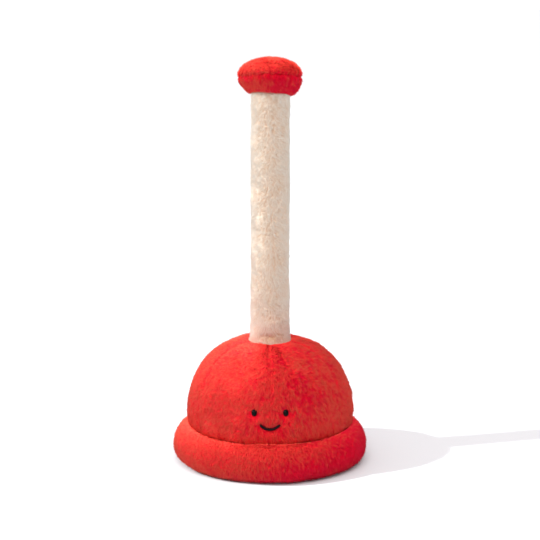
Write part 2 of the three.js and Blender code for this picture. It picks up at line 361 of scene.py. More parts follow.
def node_in(tree, kind, **settings):
    node = tree.nodes.new(kind)
    for key, value in settings.items():
        setattr(node, key, value)
    return node


def shader_group(name, inputs, outputs):
    """A shader node group. Each input is a colour or a number, and each output feeds the shader's input
    of the same name."""
    group = bpy.data.node_groups.new(name, "ShaderNodeTree")
    for label, value in inputs.items():
        kind = "NodeSocketColor" if isinstance(value, tuple) else "NodeSocketFloat"
        group.interface.new_socket(label, in_out="INPUT", socket_type=kind).default_value = value
    kinds = {"Base Color": "NodeSocketColor", "Roughness": "NodeSocketFloat", "Normal": "NodeSocketVector"}
    for label in outputs:
        group.interface.new_socket(label, in_out="OUTPUT", socket_type=kinds[label])
    return group, node_in(group, "NodeGroupInput").outputs, node_in(group, "NodeGroupOutput").inputs


def finished_with(material, group, **values):
    """Puts the group in the material with those inputs, its outputs linked to the shader."""
    tree = material.node_tree
    node = node_in(tree, "ShaderNodeGroup", node_tree=group)
    for label, value in values.items():
        node.inputs[label].default_value = (*value, 1) if isinstance(value, tuple) else value
    for output in node.outputs:
        tree.links.new(output, tree.nodes["Principled BSDF"].inputs[output.name])


def ranged(tree, value, low, high):
    """0 where the value is below low, 1 above high."""
    node = node_in(tree, "ShaderNodeMapRange")
    node.inputs["From Min"].default_value = low
    node.inputs["From Max"].default_value = high
    tree.links.new(value, node.inputs["Value"])
    return node.outputs["Result"]


def blended(tree, factor, a, b, blend_type="MIX"):
    node = node_in(tree, "ShaderNodeMix", data_type="RGBA", blend_type=blend_type)
    for label, value in {"Factor": factor, "A": a, "B": b}.items():
        if isinstance(value, (int, tuple)):
            node.inputs[label].default_value = value
        else:
            tree.links.new(value, node.inputs[label])
    return node.outputs["Result"]


def textured(tree, kind, scale, detail=None):
    """A texture on the piece's own coordinates. The scale is a number or a socket."""
    node = node_in(tree, kind)
    tree.links.new(node_in(tree, "ShaderNodeTexCoord").outputs["Object"], node.inputs["Vector"])
    if isinstance(scale, (int, float)):
        node.inputs["Scale"].default_value = scale
    else:
        tree.links.new(scale, node.inputs["Scale"])
    if detail:
        node.inputs["Detail"].default_value = detail
    return node


def raised(tree, height, relief, strength):
    """A bump whose full height is relief, a length in metres or a socket. A negative relief sinks in."""
    scaled = node_in(tree, "ShaderNodeMath", operation="MULTIPLY")
    tree.links.new(height, scaled.inputs[0])
    if isinstance(relief, float):
        scaled.inputs[1].default_value = relief
    else:
        tree.links.new(relief, scaled.inputs[1])
    bump = node_in(tree, "ShaderNodeBump")
    bump.inputs["Strength"].default_value = strength
    bump.inputs["Distance"].default_value = 1
    tree.links.new(scaled.outputs[0], bump.inputs["Height"])
    return bump.outputs["Normal"]


# the knit under the pile: darker than the pile, a painted shade under it, mottled, with fine rows as bump
yarn_colours = {"Yarn": (1, 1, 1, 1), "Dark": (0, 0, 0, 1)}
knit, given, out = shader_group("knit", yarn_colours, ("Base Color", "Normal"))
mottle = textured(knit, "ShaderNodeTexNoise", 60, 4).outputs["Fac"]
rows = textured(knit, "ShaderNodeTexNoise", 900).outputs["Fac"]
mottled = blended(knit, ranged(knit, mottle, 0.35, 0.7), given["Dark"], given["Yarn"])
knit.links.new(mottled, out["Base Color"])
knit.links.new(raised(knit, rows, 0.4 * mm, 0.5), out["Normal"])


def plush_backing(name, yarn, dark):
    material = shader(name, 0.95, specular=0.1)
    finished_with(material, knit, Yarn=yarn, Dark=dark)
    return material


# red backing: darker than the red pile, a painted shade seen between and under the tufts
red_backing = plush_backing("red_plush_backing", (0.7, 0.006, 0.014), (0.5, 0.001, 0.008))
dome.data.materials.append(red_backing)


# ---- Pile ----
# Thousands of short combed tufts stand on each cover. A tuft is a thin three-sided spike. Its map runs
# across by shade, one strip for each shade of tuft, and up from root to tip.
TUFT_MAP = "OFBake"  # the export bakes a piece's colours through the map of this name
STRIP = 0.02
LOCK_SQUEEZE = 0.55
PILE_FACTS = ("comb", "lift", "reach", "thickness", "shade", "tousle")


def make_pile_group():
    group = bpy.data.node_groups.new("pile", "GeometryNodeTree")
    face = group.interface
    face.new_socket("Cover", in_out="INPUT", socket_type="NodeSocketGeometry")
    for label in ("Tufts per square metre", "Width", "Disorder", "Clumping", "Locks per metre"):
        face.new_socket(label, in_out="INPUT", socket_type="NodeSocketFloat")
    face.new_socket("Seed", in_out="INPUT", socket_type="NodeSocketInt")
    face.new_socket("Pile", in_out="OUTPUT", socket_type="NodeSocketGeometry")
    links = group.links

    def join(source, target):
        links.new(source, target)

    def math(operation, a, b):
        node = node_in(group, "ShaderNodeMath", operation=operation)
        for socket, value in zip(node.inputs, (a, b)):
            if isinstance(value, (int, float)):
                socket.default_value = value
            else:
                join(value, socket)
        return node.outputs[0]

    def vector(operation, a, b):
        node = node_in(group, "ShaderNodeVectorMath", operation=operation)
        join(a, node.inputs[0])
        other = node.inputs["Scale" if operation == "SCALE" else 1]
        if isinstance(b, tuple):
            other.default_value = b
        else:
            join(b, other)
        return node.outputs[0]

    def named(kind, label):
        node = node_in(group, "GeometryNodeInputNamedAttribute", data_type=kind)
        node.inputs["Name"].default_value = label
        return node.outputs["Attribute"]

    def random(kind, low, high, salt):
        node = node_in(group, "FunctionNodeRandomValue", data_type=kind)
        sockets = [s for s in node.inputs if s.enabled and s.name in ("Min", "Max")]
        sockets[0].default_value = low
        sockets[1].default_value = high
        join(math("ADD", given.outputs["Seed"], salt), node.inputs["Seed"])
        return next(s for s in node.outputs if s.enabled)

    def stored(geometry, label, kind, domain, value):
        node = node_in(group, "GeometryNodeStoreNamedAttribute", data_type=kind, domain=domain)
        node.inputs["Name"].default_value = label
        join(geometry, node.inputs["Geometry"])
        join(value, next(s for s in node.inputs if s.enabled and s.name == "Value"))
        return node.outputs["Geometry"]

    given = node_in(group, "NodeGroupInput")
    spread = node_in(group, "GeometryNodeDistributePointsOnFaces", distribute_method="RANDOM")
    join(given.outputs["Cover"], spread.inputs["Mesh"])
    density = math("MULTIPLY", named("FLOAT", "thickness"), given.outputs["Tufts per square metre"])
    join(density, spread.inputs["Density"])
    join(given.outputs["Seed"], spread.inputs["Seed"])

    # each tuft's direction: the combed direction, lifted by the normal, and a little disorder
    strayed = random("FLOAT_VECTOR", (-1, -1, -1), (1, 1, 1), 11)
    scatter = vector("SCALE", strayed, given.outputs["Disorder"])
    lifted = vector("SCALE", spread.outputs["Normal"], named("FLOAT", "lift"))
    leaning = vector("ADD", named("FLOAT_VECTOR", "comb"), lifted)
    # neighbouring tufts cling together in small locks, longer than they are wide
    position = node_in(group, "GeometryNodeInputPosition").outputs[0]
    locks = node_in(group, "ShaderNodeTexNoise")
    join(given.outputs["Locks per metre"], locks.inputs["Scale"])
    locks.inputs["Detail"].default_value = 1
    join(vector("MULTIPLY", position, (1, 1, LOCK_SQUEEZE)), locks.inputs["Vector"])
    clinging = math("MULTIPLY", given.outputs["Clumping"], named("FLOAT", "tousle"))
    cling = vector("SCALE", vector("SUBTRACT", locks.outputs["Color"], (0.5, 0.5, 0.5)), clinging)
    heading = vector("ADD", vector("ADD", leaning, cling), scatter)
    aimed = node_in(group, "FunctionNodeAlignRotationToVector", axis="Z")
    join(heading, aimed.inputs["Vector"])
    roll = node_in(group, "ShaderNodeCombineXYZ")
    join(random("FLOAT", 0, tau, 23), roll.inputs["Z"])
    turned = node_in(group, "FunctionNodeRotateRotation", rotation_space="LOCAL")
    join(aimed.outputs[0], turned.inputs[0])
    join(roll.outputs[0], turned.inputs[1])

    # each tuft's size
    width = math("MULTIPLY", given.outputs["Width"], random("FLOAT", 0.7, 1.3, 31))
    flat = math("MULTIPLY", width, 0.55)
    tall = math("ADD", math("MULTIPLY", locks.outputs["Fac"], 1.1), 0.45)
    length = math("MULTIPLY", named("FLOAT", "reach"), tall)
    length = math("MULTIPLY", length, random("FLOAT", 0.75, 1.15, 47))
    size = node_in(group, "ShaderNodeCombineXYZ")
    join(width, size.inputs["X"])
    join(flat, size.inputs["Y"])
    join(length, size.inputs["Z"])

    # each tuft's shade: the shade fact, plus light and dark strokes by lock, which are painted light and
    # shade of the locks' relief and grow with the tousle value
    lock_shade = math("MULTIPLY", math("SUBTRACT", locks.outputs["Fac"], 0.5), 3.6)
    lock_shade = math("MULTIPLY", lock_shade, named("FLOAT", "tousle"))
    lock_shade = math("ADD", lock_shade, random("FLOAT", -0.12, 0.12, 59))
    varied = math("ADD", named("FLOAT", "shade"), lock_shade)
    held_in = math("MINIMUM", math("MAXIMUM", varied, STRIP), 1 - STRIP)
    points = stored(spread.outputs["Points"], "tuft_shade", "FLOAT", "POINT", held_in)

    spike = node_in(group, "GeometryNodeMeshCone", fill_type="NGON")
    spike.inputs["Vertices"].default_value = 3
    spike.inputs["Side Segments"].default_value = 1
    spike.inputs["Radius Top"].default_value = 0
    spike.inputs["Radius Bottom"].default_value = 0.5
    spike.inputs["Depth"].default_value = 1
    where = node_in(group, "ShaderNodeSeparateXYZ")
    join(node_in(group, "GeometryNodeInputPosition").outputs[0], where.inputs[0])
    across = math("MULTIPLY", where.outputs["X"], 2 * STRIP)
    marked = stored(spike.outputs["Mesh"], "up", "FLOAT", "POINT", where.outputs["Z"])
    marked = stored(marked, "across", "FLOAT", "POINT", across)

    copies = node_in(group, "GeometryNodeInstanceOnPoints")
    join(points, copies.inputs["Points"])
    join(marked, copies.inputs["Instance"])
    join(turned.outputs[0], copies.inputs["Rotation"])
    join(size.outputs[0], copies.inputs["Scale"])
    real = node_in(group, "GeometryNodeRealizeInstances")
    join(copies.outputs[0], real.inputs[0])
    map_point = node_in(group, "ShaderNodeCombineXYZ")
    join(math("ADD", named("FLOAT", "tuft_shade"), named("FLOAT", "across")), map_point.inputs["X"])
    join(named("FLOAT", "up"), map_point.inputs["Y"])
    mapped = stored(real.outputs[0], TUFT_MAP, "FLOAT2", "CORNER", map_point.outputs[0])
    smooth = node_in(group, "GeometryNodeSetShadeSmooth")
    join(mapped, smooth.inputs["Geometry"])
    leaving = node_in(group, "NodeGroupOutput")
    join(smooth.outputs[0], leaving.inputs["Pile"])
    return group


pile_group = make_pile_group()


def combed(cover, facts):
    """Writes on each point how its pile grows: facts(point, normal) gives the values of PILE_FACTS."""
    mesh = cover.data
    rows = [facts(v.co, v.normal) for v in mesh.vertices]
    for label in PILE_FACTS:
        values = [row[label] for row in rows]
        if label == "comb":
            attribute = mesh.attributes.new(label, "FLOAT_VECTOR", "POINT")
            attribute.data.foreach_set("vector", [c for value in values for c in value])
        else:
            attribute = mesh.attributes.new(label, "FLOAT", "POINT")
            attribute.data.foreach_set("value", values)


def grown(cover, name, material, per_mm2, width, disorder, clumping, locks, seed, faces=None):
    """The pile on the cover, or on those of its faces whose middle is in faces, as a piece of its own."""
    bed = bpy.data.objects.new(name, cover.data.copy())
    scene.collection.objects.link(bed)
    if faces:
        bm = bmesh.new()
        bm.from_mesh(bed.data)
        away = [face for face in bm.faces if not faces(face.calc_center_median())]
        bmesh.ops.delete(bm, geom=away, context="FACES")
        bm.to_mesh(bed.data)
        bm.free()
    grower = bed.modifiers.new("pile", "NODES")
    grower.node_group = pile_group
    values = {
        "Tufts per square metre": per_mm2 * 1e6,
        "Width": width,
        "Disorder": disorder,
        "Clumping": clumping,
        "Locks per metre": locks,
        "Seed": seed,
    }
    for item in pile_group.interface.items_tree:
        if item.in_out == "INPUT" and item.name in values:
            grower[item.identifier] = values[item.name]
    done = bed.evaluated_get(bpy.context.evaluated_depsgraph_get())
    mesh = bpy.data.meshes.new_from_object(done)
    bed.modifiers.remove(grower)
    bed.data = mesh
    mesh.name = name
    for label in ("tuft_shade", "up", "across", *PILE_FACTS):
        if label in mesh.attributes:
            mesh.attributes.remove(mesh.attributes[label])
    mesh.materials.clear()
    mesh.materials.append(material)
    return bed


# pile fibre: deep at the root, painted shade down in the pile, paler at the tip, painted light on the tips,
# and the darkest tufts multiplied by Deep
tuft_colours = {label: (1, 1, 1, 1) for label in ("Root", "Body", "Tip", "Deep")}
tuft_colour, given, out = shader_group("tuft_colour", tuft_colours, ("Base Color",))
tuft_map = node_in(tuft_colour, "ShaderNodeUVMap", uv_map=TUFT_MAP)
split = node_in(tuft_colour, "ShaderNodeSeparateXYZ")
tuft_colour.links.new(tuft_map.outputs["UV"], split.inputs[0])
lower = blended(tuft_colour, ranged(tuft_colour, split.outputs["Y"], 0, 0.45), given["Root"], given["Body"])
along = blended(tuft_colour, ranged(tuft_colour, split.outputs["Y"], 0.45, 1), lower, given["Tip"])
shade = blended(tuft_colour, ranged(tuft_colour, split.outputs["X"], 0, 0.75), given["Deep"], (1, 1, 1, 1))
tuft_colour.links.new(blended(tuft_colour, 1, along, shade, "MULTIPLY"), out["Base Color"])


def pile_material(name, root, body, tip, deep, roughness, specular, specular_tint):
    material = shader(name, roughness, 0.04, tip, specular, specular_tint)
    finished_with(material, tuft_colour, Root=root, Body=body, Tip=tip, Deep=deep)
    return material


# red pile: the dark root is painted shade and the pale orange tip is painted light
red_pile = pile_material(
    "red_pile", root=(0.66, 0.001, 0.01), body=(0.85, 0.016, 0.03), tip=(0.86, 0.145, 0.078),
    deep=(0.97, 0.02, 0.8), roughness=0.7, specular=0.12, specular_tint=(1, 0.6, 0.4),
)
DOWN = Vector((0, 0, -1))


def along_surface(direction, normal):
    flat = direction - normal * direction.dot(normal)
    return flat.normalized() if flat.length > 1e-6 else Vector((1, 0, 0))


TOUSLED = Vector((36, -60, 98)) * mm  # the middle of a patch brushed up by handling


def dome_pile(point, normal):
    radius = from_axis(point)
    outward = Vector((point.x, point.y, 0)).normalized() if radius > 1e-6 else Vector((1, 0, 0))
    across = Vector((-outward.y, outward.x, 0))
    brushed = exp(-(((point - TOUSLED).length / (32 * mm)) ** 2))
    lean = 0.45 * (1 if point.x > 0 else -1) * eased(0, 22 * mm, abs(point.x)) * (1 if point.y < 0 else -1)
    near_root = 1 - eased(20 * mm, 30 * mm, radius)
    comb = along_surface(DOWN + outward * (0.2 + near_root) + across * lean, normal)
    swirl = radians(26 + 60 * brushed) * noise.noise(point * 35)
    swirl += radians(34 + 70 * brushed) * noise.noise(point * 120 + Vector((5, 0, 0)))
    comb = Quaternion(normal, swirl) @ comb
    away = dome_seam(point)
    side = 1 if angle_to_seam(point, 6) > 0 else -1
    parting = 0.3 * exp(-((away / (3 * mm)) ** 2)) * side
    comb = (comb + across * parting).normalized()
    face = min(eased(2.2 * mm, 9 * mm, eye_away(point)), eased(0.8 * mm, 7 * mm, smile_away(point)))
    sewn = eased(0.8 * mm, 5 * mm, closing_away(point))
    bare = eye_away(point) < 2.9 * mm or smile_away(point) < 0.9 * mm or closing_away(point) < 0.9 * mm
    hidden = point.z < crease_z - 2 * mm or radius < 20.5 * mm
    seam = exp(-((away / (1.6 * mm)) ** 2)) * eased(74 * mm, 90 * mm, point.z)
    flecks = (0.2 + 0.7 * brushed) * noise.noise(point * 70) + 0.8 * brushed * noise.noise(point * 330)
    shorter = (0.3 + 0.7 * face) * (0.5 + 0.5 * sewn) * (1 - 0.3 * near_root) * (1 - 0.3 * seam)
    # shade: darker round the eyes and the smile and along the upper part of the seams, which is painted
    # shade in their dents and grooves; the tousle value makes the locks' painted light and shade weak on
    # the left and strong on the right and in the brushed patch
    return {
        "comb": comb,
        "lift": 0.4 + 0.14 * noise.noise(point * 60) + 0.25 * brushed,
        "reach": (5.6 + 1.1 * noise.noise(point * 45)) * mm * shorter,
        "thickness": 0 if hidden or bare else 1,
        "shade": 0.7 - 0.3 * brushed - 0.5 * (1 - face) - 0.3 * seam + flecks,
        "tousle": 0.3 + 0.55 * eased(-50 * mm, 10 * mm, point.x) * (1 - 0.5 * near_root) + 0.55 * brushed,
    }


def sector(middle, parts):
    """A test for whether a point lies in the sector round that angle, one of so many equal parts."""

    def inside(at):
        turn = (atan2(at.y, at.x) - middle + pi) % tau - pi
        return abs(turn) <= tau / parts / 2

    return inside


combed(dome, dome_pile)
dome_piles = []
for i in range(6):
    in_gore = sector(-pi / 2 + (i + 0.5) * tau / 6, 6)
    pile = grown(
        dome, f"dome_pile_{i + 1}", red_pile, per_mm2=3.45, width=0.84 * mm, disorder=0.2, clumping=0.9,
        locks=400, seed=100 + i, faces=in_gore,
    )
    dome_piles.append(pile)

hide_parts(*gores, "body_filling")
for piece in (dome, *dome_piles):
    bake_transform(piece)

# ---- Rim ----
# One red plush strip, rolled from the crease out, down and under, and stuffed with the same filling. It
# is sewn to the dome at the crease and to the base panel underneath.
rim_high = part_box("rim_cover")[1]
rim_reach = 18.1 * mm
rim_centre = rim_high.x - rim_reach
rim_widest_z = 13 * mm
rim_crest_z = rim_high.z + 1.4 * mm
base_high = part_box("base_panel")[1]


def rim_outline():
    outer = rim_reach - PILE_DEPTH
    bottom = [(0, base_high.z + 0.4 * mm), (base_high.x - 3 * mm, base_high.z + 0.4 * mm)]
    under = [
        (rim_centre + outer * cos(a), rim_widest_z + (rim_widest_z - 1.2 * mm) * sin(a))
        for a in (radians(t) for t in range(-90, 0, 9))
    ]
    crest = rim_crest_z - PILE_DEPTH - rim_widest_z
    over = [
        (rim_centre + outer * cos(a), rim_widest_z + crest * sin(a))
        for a in (radians(t) for t in range(0, 96, 6))
    ]
    top = [(dome_radius - 6 * mm, crease_z - 7 * mm), (0, crease_z - 7 * mm)]
    return bottom + under + over + top


rim = spun("rim_roll", even_steps(rim_outline(), 5.5 * mm), 84)


def rim_held(point):
    radius = from_axis(point)
    if radius < rim_centre - 1 * mm:
        return 1
    return 0.5 if point.z < 4 * mm else 0


stuffed(rim, rim_held, pressure=2500, reach=1.5 * mm)
finer(rim, levels=2)


def rim_lumps(point):
    radius = from_axis(point)
    if radius < rim_centre or point.z < 4 * mm:
        return 0
    return noise.noise(point * 22) * 1.1 * mm + noise.noise(point * 70) * 0.4 * mm


pushed(rim, rim_lumps)
for v in rim.data.vertices:
    v.co.z = max(v.co.z, 1.0 * mm)
rim.data.materials.append(red_backing)


def rim_pile(point, normal):
    radius = from_axis(point)
    comb = along_surface(DOWN + Vector((point.x, point.y, 0)).normalized() * 0.6, normal)
    swirl = radians(30) * noise.noise(point * 30) + radians(18) * noise.noise(point * 100)
    comb = Quaternion(normal, swirl) @ comb
    hidden = radius < dome_radius - 1 * mm or point.z < 1.5 * mm
    # the right side and the underside of the roll are darker: painted shade; the tousle value makes the
    # locks' painted light and shade stronger towards the right
    painted_shade_right_low = eased(-65 * mm, 45 * mm, point.x + 3 * (rim_widest_z - point.z))
    return {
        "comb": comb,
        "lift": 0.4 + 0.1 * noise.noise(point * 50),
        "reach": (5 + 0.8 * noise.noise(point * 45)) * mm * (0.45 + 0.55 * eased(0, 9 * mm, point.z)),
        "thickness": 0 if hidden else 1,
        "shade": 0.8 - painted_shade_right_low + 0.3 * noise.noise(point * 60),
        "tousle": 0.3 + 0.5 * eased(-60 * mm, 10 * mm, point.x),
    }


combed(rim, rim_pile)
rim_piles = []
for i in range(3):
    in_third = sector(-pi / 2 + i * tau / 3, 3)
    pile = grown(
        rim, f"rim_pile_{i + 1}", red_pile, per_mm2=3.2, width=0.83 * mm, disorder=0.2, clumping=0.7,
        locks=480, seed=200 + i, faces=in_third,
    )
    rim_piles.append(pile)
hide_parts("rim_cover")
for piece in (rim, *rim_piles):
    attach(piece, "body")

# ---- Base panel ----
# A flat disc of the same plush with its pile pressed down by the toy's weight. Its edge is sewn into the
# rolled rim.
base = spun(
    "base_disc",
    even_steps(
        [(0, 0.3 * mm), (base_high.x - 2 * mm, 0), (base_high.x, 1 * mm),
         (base_high.x - 1 * mm, base_high.z), (0, base_high.z)],
        4 * mm,
    ),
    72,
)
base.data.shade_smooth()
base.data.materials.append(red_backing)
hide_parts("base_panel")
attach(base, "body")

# ---- Handle ----
# One cream plush tube with its seam at the back, stuffed round a foam rod. It is sewn to the dome at its
# foot, where it flares a little, and to the knob at its neck.
handle_low, handle_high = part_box("handle_cover")
knob_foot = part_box("knob_cover_bottom")[0].z - 4 * mm
handle_radius = handle_high.x - 2.2 * mm
handle_foot = dome_top - 7 * mm
handle_end = handle_high.z + 7.5 * mm


def handle_outline():
    flare = 2.2 * mm
    rows = []
    for i in range(61):
        z = handle_foot + (handle_end - handle_foot) * i / 60
        over = max(z - (dome_top - 1 * mm), 0)
        radius = handle_radius + flare * exp(-over / (4 * mm)) + 0.7 * mm * exp(-over / (45 * mm))
        rows.append((radius, z))
    return [(0, handle_foot), *rows, (0, handle_end)]


handle = spun("handle_sleeve", even_steps(handle_outline(), 5 * mm), 28)


def handle_held(point):
    ends = 1 - eased(0, 8 * mm, min(point.z - handle_foot, handle_end - point.z))
    back = 0.7 * exp(-((abs(angle_to_seam(point, 1, pi / 2)) * handle_radius / (3 * mm)) ** 2))
    return max(ends, back)


stuffed(handle, handle_held, pressure=4000, reach=1 * mm)
finer(handle, levels=2)


def hem_fold(point):
    """1 in the short fold that the stitches draw across the front, just above the hem, 0 away from it."""
    if point.y > 0:
        return 0
    return exp(-((point.x / (9 * mm)) ** 2) - ((point.z - dome_top - 7 * mm) / (3.4 * mm)) ** 2)


def handle_shape(point):
    inside = eased(handle_foot, handle_foot + 12 * mm, point.z)
    back = abs(angle_to_seam(point, 1, pi / 2)) * handle_radius
    seam = 1.2 * mm * exp(-((back / (1.8 * mm)) ** 2))
    dimple = 1.3 * mm * hem_fold(point)
    lumps = noise.noise(point * 24) * 0.8 * mm + noise.noise(point * 75) * 0.25 * mm
    return inside * (seam + lumps) + dimple


pushed(handle, handle_shape)
# cream backing: darker than the cream pile, a painted shade seen between and under the tufts
cream_backing = plush_backing("cream_plush_backing", (0.85, 0.68, 0.55), (0.72, 0.54, 0.4))
handle.data.materials.append(cream_backing)
# cream pile: the warm dark root is painted shade and the pale tip is painted light
cream_pile = pile_material(
    "cream_pile", root=(0.77, 0.53, 0.37), body=(0.95, 0.82, 0.68), tip=(0.98, 0.94, 0.87),
    deep=(0.84, 0.65, 0.47), roughness=0.65, specular=0.6, specular_tint=(1, 1, 1),
)


def handle_pile(point, normal):
    # the pile falls away to both sides of the front line, like a herringbone
    round_z = Vector((-normal.y, normal.x, 0))
    fall = min(max(point.x / (7 * mm), -1), 1) * (1 if point.y < 0 else -1)
    sideways = 0.85 * fall + 0.9 * noise.noise(point * 50)
    comb = along_surface(DOWN + round_z * sideways, normal)
    swirl = radians(30) * noise.noise(point * 60) + radians(45) * noise.noise(point * 160)
    hidden = point.z < dome_top - 0.5 * mm or point.z > knob_foot + 3 * mm
    # the fold above the hem is darker: painted shade in the fold; the tousle value makes the locks' painted
    # light and shade strongest along the front middle
    return {
        "comb": Quaternion(normal, swirl) @ comb,
        "lift": 0.4 + 0.16 * noise.noise(point * 90),
        "reach": (4.0 + 0.7 * noise.noise(point * 60)) * mm,
        "thickness": 0 if hidden else 1,
        "shade": 0.72 + 0.25 * noise.noise(point * 60) - 0.8 * hem_fold(point),
        "tousle": (1.0 - 0.6 * eased(4 * mm, 16 * mm, abs(point.x))) * (1 if point.y < 0 else 0.5),
    }


combed(handle, handle_pile)
handle_middle = (handle_low.z + handle_high.z) / 2
handle_piles = []
for i in range(3):
    band_low = handle_low.z + (handle_end - handle_low.z) * i / 3
    band_high = handle_low.z + (handle_end - handle_low.z) * (i + 1) / 3

    def in_band(at, low=band_low if i else 0, high=band_high):
        return low <= at.z < high

    pile = grown(
        handle, f"handle_pile_{i + 1}", cream_pile, per_mm2=4.7, width=0.52 * mm, disorder=0.24,
        clumping=0.8, locks=850, seed=300 + i, faces=in_band,
    )
    handle_piles.append(pile)
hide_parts("handle_cover", "handle_filling")
for piece in (handle, *handle_piles):
    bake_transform(piece)

# ---- Knob ----
# Two round red plush panels sewn together round the widest line, gathered a little, and stuffed. The
# knob is sewn over the handle's end, a little crooked.
knob_high = span("knob_cover_top", "knob_cover_bottom")[1]
knob_radius = knob_high.x + 0.7 * mm - PILE_DEPTH
knob_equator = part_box("knob_cover_top")[0].z - 1.5 * mm
knob_top = knob_high.z - 1.8 * mm
knob_hem = handle_radius + 1.8 * mm


def knob_outline():
    cup = knob_foot + 9 * mm
    inside = [(0, cup), (knob_hem - 2 * mm, cup), (knob_hem - 1 * mm, knob_foot + 2 * mm)]
    lower = []
    for i in range(13):
        up = i / 12
        out = sin(pi / 2 * up) ** 0.85
        radius = knob_hem + (knob_radius - knob_hem) * out
        lower.append((radius, knob_foot + (knob_equator - knob_foot) * up))
    upper = [
        (knob_radius * cos(a), knob_equator + (knob_top - knob_equator) * sin(a))
        for a in (pi / 2 * i / 14 for i in range(1, 15))
    ]
    upper[-1] = (0, knob_top)
    return [*inside, *lower, *upper]


def askew(point):
    """How much higher the knob sits at a point: it is sewn on crooked, its front raised."""
    low = 1 - eased(knob_foot, knob_equator, point.z)
    forward = max(-point.y, 0)
    reach = eased(8 * mm, 18 * mm, from_axis(point))
    above = 1 - eased(knob_equator, knob_top, point.z)
    return reach * above * (forward * (0.16 + 0.05 * low) - 0.09 * low * point.x)


knob = spun("knob_cover", even_steps(knob_outline(), 3.6 * mm), 56)


def knob_held(point):
    radius = from_axis(point)
    low = 1 - eased(0, 3 * mm, point.z - knob_foot)
    seam = 0.8 * exp(-(((point.z - knob_equator) / (1.6 * mm)) ** 2)) if radius > 20 * mm else 0
    return max(low, seam)


stuffed(knob, knob_held, pressure=100, reach=1.2 * mm)
finer(knob, levels=2)


def knob_seam(point):
    radius = from_axis(point)
    if radius < 20 * mm:
        return 0
    away = point.z - knob_equator
    turn = atan2(point.y, point.x)
    away += 2.4 * mm * noise.noise(Vector((cos(turn), sin(turn), 0)) * 5)
    line = (0.9 * mm + 1.0 * mm * eased(-20 * mm, 6 * mm, point.x)) * exp(-((away / (2.1 * mm)) ** 2))
    gathers = 1.0 * mm * sin(turn * 24 + 3 * noise.noise(point * 60)) * exp(-((away / (5 * mm)) ** 2))
    return line + gathers + noise.noise(point * 45) * 0.7 * mm


pushed(knob, knob_seam)
for v in knob.data.vertices:
    v.co.z += askew(v.co)
knob.data.materials.append(red_backing)


def knob_pile(point, normal):
    radius = from_axis(point)
    outward = Vector((point.x, point.y, 0)).normalized() if radius > 1e-6 else Vector((1, 0, 0))
    above = point.z - knob_equator - 0.16 * max(-point.y, 0) * radius / knob_radius
    comb = along_surface(Vector((-0.4, -0.8, -0.5)) if above > 0 else DOWN - outward * 0.2, normal)
    rough_and_shaded_below = 1 - eased(-2 * mm, 6 * mm, above)
    swirl = radians(35 + 50 * rough_and_shaded_below) * noise.noise(point * 50) + radians(25) * noise.noise(point * 130)
    comb = Quaternion(normal, swirl) @ comb
    hem = eased(0, 5 * mm, above + knob_equator - knob_foot)
    seam = exp(-((above / (2.5 * mm)) ** 2))
    # below the widest seam the knob is darker, much more so to the right, and the seam itself is darker:
    # painted shade under the knob and in the seam's crease; the tousle value makes the locks' painted light
    # and shade stronger below and to the right
    painted_shade_right_low = 0.75 * rough_and_shaded_below * eased(-16 * mm, 12 * mm, point.x) - 0.15 * rough_and_shaded_below
    return {
        "comb": comb,
        "lift": 0.4 + 0.15 * rough_and_shaded_below,
        "reach": (4.4 + 1.1 * noise.noise(point * 60)) * mm * (0.4 + 0.6 * hem) * (1 - 0.3 * seam),
        "thickness": 0 if radius < knob_hem - 0.2 * mm and above < -2 * mm else 1,
        "shade": 0.8 - 0.3 * rough_and_shaded_below - 0.2 * seam - painted_shade_right_low + 0.3 * noise.noise(point * 110),
        "tousle": 0.45 + 0.45 * max(rough_and_shaded_below, eased(-10 * mm, 20 * mm, point.x)),
    }


combed(knob, knob_pile)
knob_tufts = grown(
    knob, "knob_pile", red_pile, per_mm2=4.9, width=0.68 * mm, disorder=0.22, clumping=0.9, locks=480,
    seed=401,
)
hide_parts("knob_cover_top", "knob_cover_bottom", "knob_filling")
for piece in (knob, knob_tufts):
    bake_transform(piece)

# ---- Eyes ----
# Two small black plastic beads on shanks. A shank goes through the plush and snaps into a washer behind
# it, which pulls the bead into a shallow dent.
def skin_of(cover):
    bm = bmesh.new()
    bm.from_mesh(cover.data)
    tree = BVHTree.FromBMesh(bm)
    bm.free()
    return tree


dome_skin = skin_of(dome)


def on_dome(x, z, side=-1):
    """The backing's point and outward normal straight in from the front, or from the back with side 1."""
    spot, normal, _, _ = dome_skin.ray_cast(Vector((x, side * 0.3, z)), Vector((0, -side, 0)))
    return spot, normal


# fine grain: tone, roughness and bump from one noise
grain_values = {
    "Low": (0, 0, 0, 1), "High": (1, 1, 1, 1), "Scale": 900.0, "Smoothest": 0.2, "Roughest": 0.8,
    "Relief": 0.0,
}
grain, given, out = shader_group("grain", grain_values, ("Base Color", "Roughness", "Normal"))
speckle = textured(grain, "ShaderNodeTexNoise", given["Scale"], 5).outputs["Fac"]
uneven = node_in(grain, "ShaderNodeMapRange")
grain.links.new(speckle, uneven.inputs["Value"])
grain.links.new(given["Smoothest"], uneven.inputs["To Min"])
grain.links.new(given["Roughest"], uneven.inputs["To Max"])
grain.links.new(uneven.outputs["Result"], out["Roughness"])
grain_tone = blended(grain, ranged(grain, speckle, 0.3, 0.7), given["Low"], given["High"])
grain.links.new(grain_tone, out["Base Color"])
grain.links.new(raised(grain, speckle, given["Relief"], 0.6), out["Normal"])

